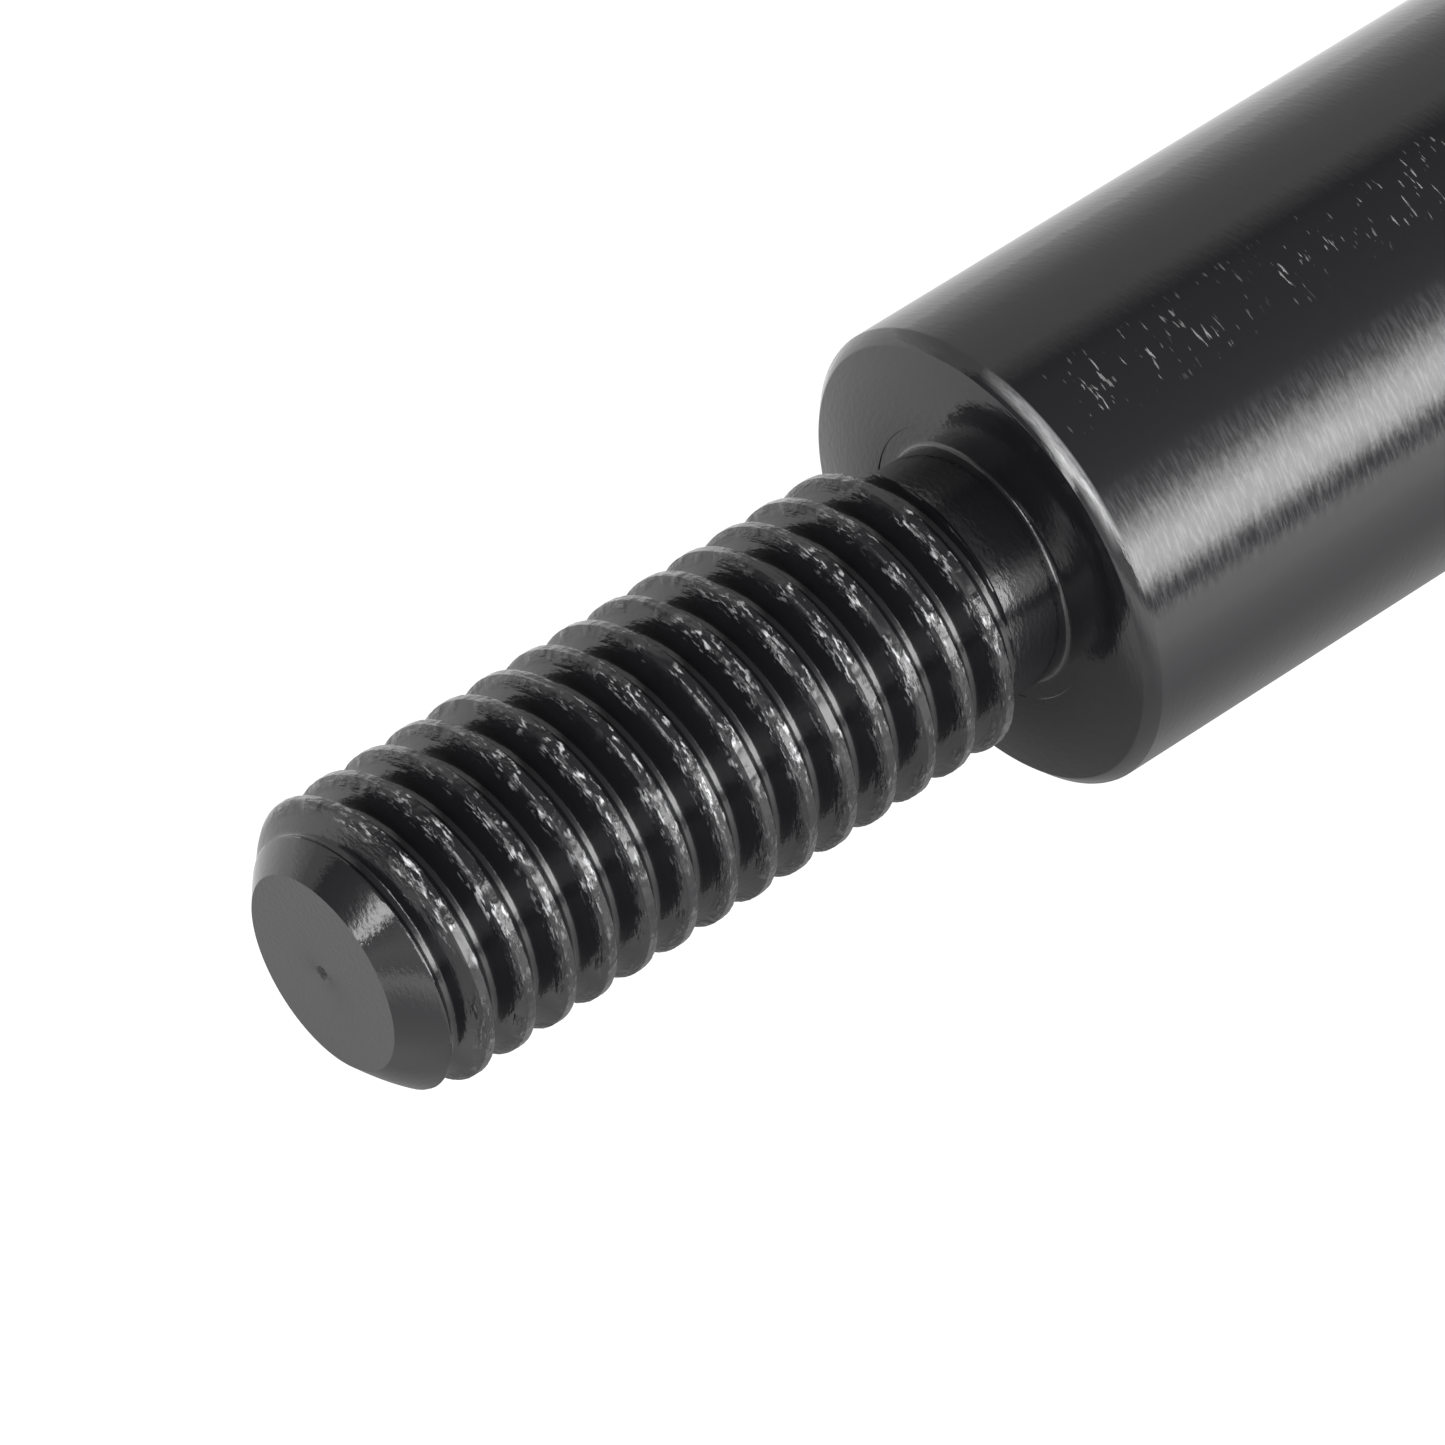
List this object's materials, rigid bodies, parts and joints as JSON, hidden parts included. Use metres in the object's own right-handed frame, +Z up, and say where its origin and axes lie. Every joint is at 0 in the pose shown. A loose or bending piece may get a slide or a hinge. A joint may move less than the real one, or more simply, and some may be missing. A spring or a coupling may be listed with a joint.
{
  "type": "ball screw assembly",
  "caption": "Fixed-free ball screw with a threaded stud end, flanged ball nut with return tubes and a fixed-side bearing support block.",
  "frame": {"origin": "centre of the support block's base face", "axes": "+X along the screw from the threaded stud to the drive journal, +Z up out of the base face"},
  "size_m": [0.2281, 0.06, 0.0617],
  "materials": {
    "black_oxide_steel": "gloss",
    "nut_steel": "ground",
    "bright_steel": "polished",
    "ball_steel": "polished",
    "sheet_steel": "satin",
    "screw_steel": "satin",
    "wiper_plastic": "matte",
    "nipple_brass": "satin",
    "block_oxide": "satin",
    "cage_resin": "matte",
    "seal_rubber": "matte"
  },
  "bodies": {
    "block": {"bearing_housing": "block_oxide", "retaining_cap": "block_oxide", "cap_screws": "screw_steel", "front_outer_ring": "bright_steel", "rear_outer_ring": "bright_steel", "front_oil_seal": "seal_rubber", "rear_oil_seal": "seal_rubber"},
    "screw": {"screw_shaft": "black_oxide_steel", "front_collar": "bright_steel", "rear_collar": "bright_steel", "front_inner_ring": "bright_steel", "rear_inner_ring": "bright_steel", "lock_nut": "screw_steel", "lock_nut_set_screws": "screw_steel", "lock_nut_pads": "nipple_brass"},
    "nut": {"nut_body": "nut_steel", "return_tube_a": "bright_steel", "return_tube_b": "bright_steel", "circuit_balls_a": "ball_steel", "circuit_balls_b": "ball_steel", "tube_clamp_a": "sheet_steel", "tube_clamp_b": "sheet_steel", "clamp_screws": "screw_steel", "wiper_front": "wiper_plastic", "wiper_rear": "wiper_plastic", "wiper_ring_front": "sheet_steel", "wiper_ring_rear": "sheet_steel", "grease_nipple": "nipple_brass", "nipple_ball": "ball_steel"},
    "front_bearing_cage": {"front_cage": "cage_resin", "front_bearing_balls": "ball_steel"},
    "rear_bearing_cage": {"rear_cage": "cage_resin", "rear_bearing_balls": "ball_steel"}
  },
  "joints": [
    {"name": "screw_spin", "type": "hinge", "parent": "block", "child": "screw", "pos_m": [0, 0, 0.03], "axis": [1, 0, 0], "range_deg": [-2160, 2160]},
    {"name": "nut_travel", "type": "slide", "parent": "block", "child": "nut", "axis": [1, 0, 0], "range_m": [-0.03, 0.03]},
    {"name": "front_cage_spin", "type": "hinge", "parent": "block", "child": "front_bearing_cage", "pos_m": [-0.003, 0, 0.03], "axis": [1, 0, 0], "range_deg": [-833, 833]},
    {"name": "rear_cage_spin", "type": "hinge", "parent": "block", "child": "rear_bearing_cage", "pos_m": [0.005, 0, 0.03], "axis": [1, 0, 0], "range_deg": [-833, 833]}
  ],
  "couplings": [
    {"joint": "screw_spin", "follows": "nut_travel", "rad_per_m": -1256.6},
    {"joint": "front_cage_spin", "follows": "nut_travel", "rad_per_m": -484.43},
    {"joint": "rear_cage_spin", "follows": "nut_travel", "rad_per_m": -484.43}
  ]
}
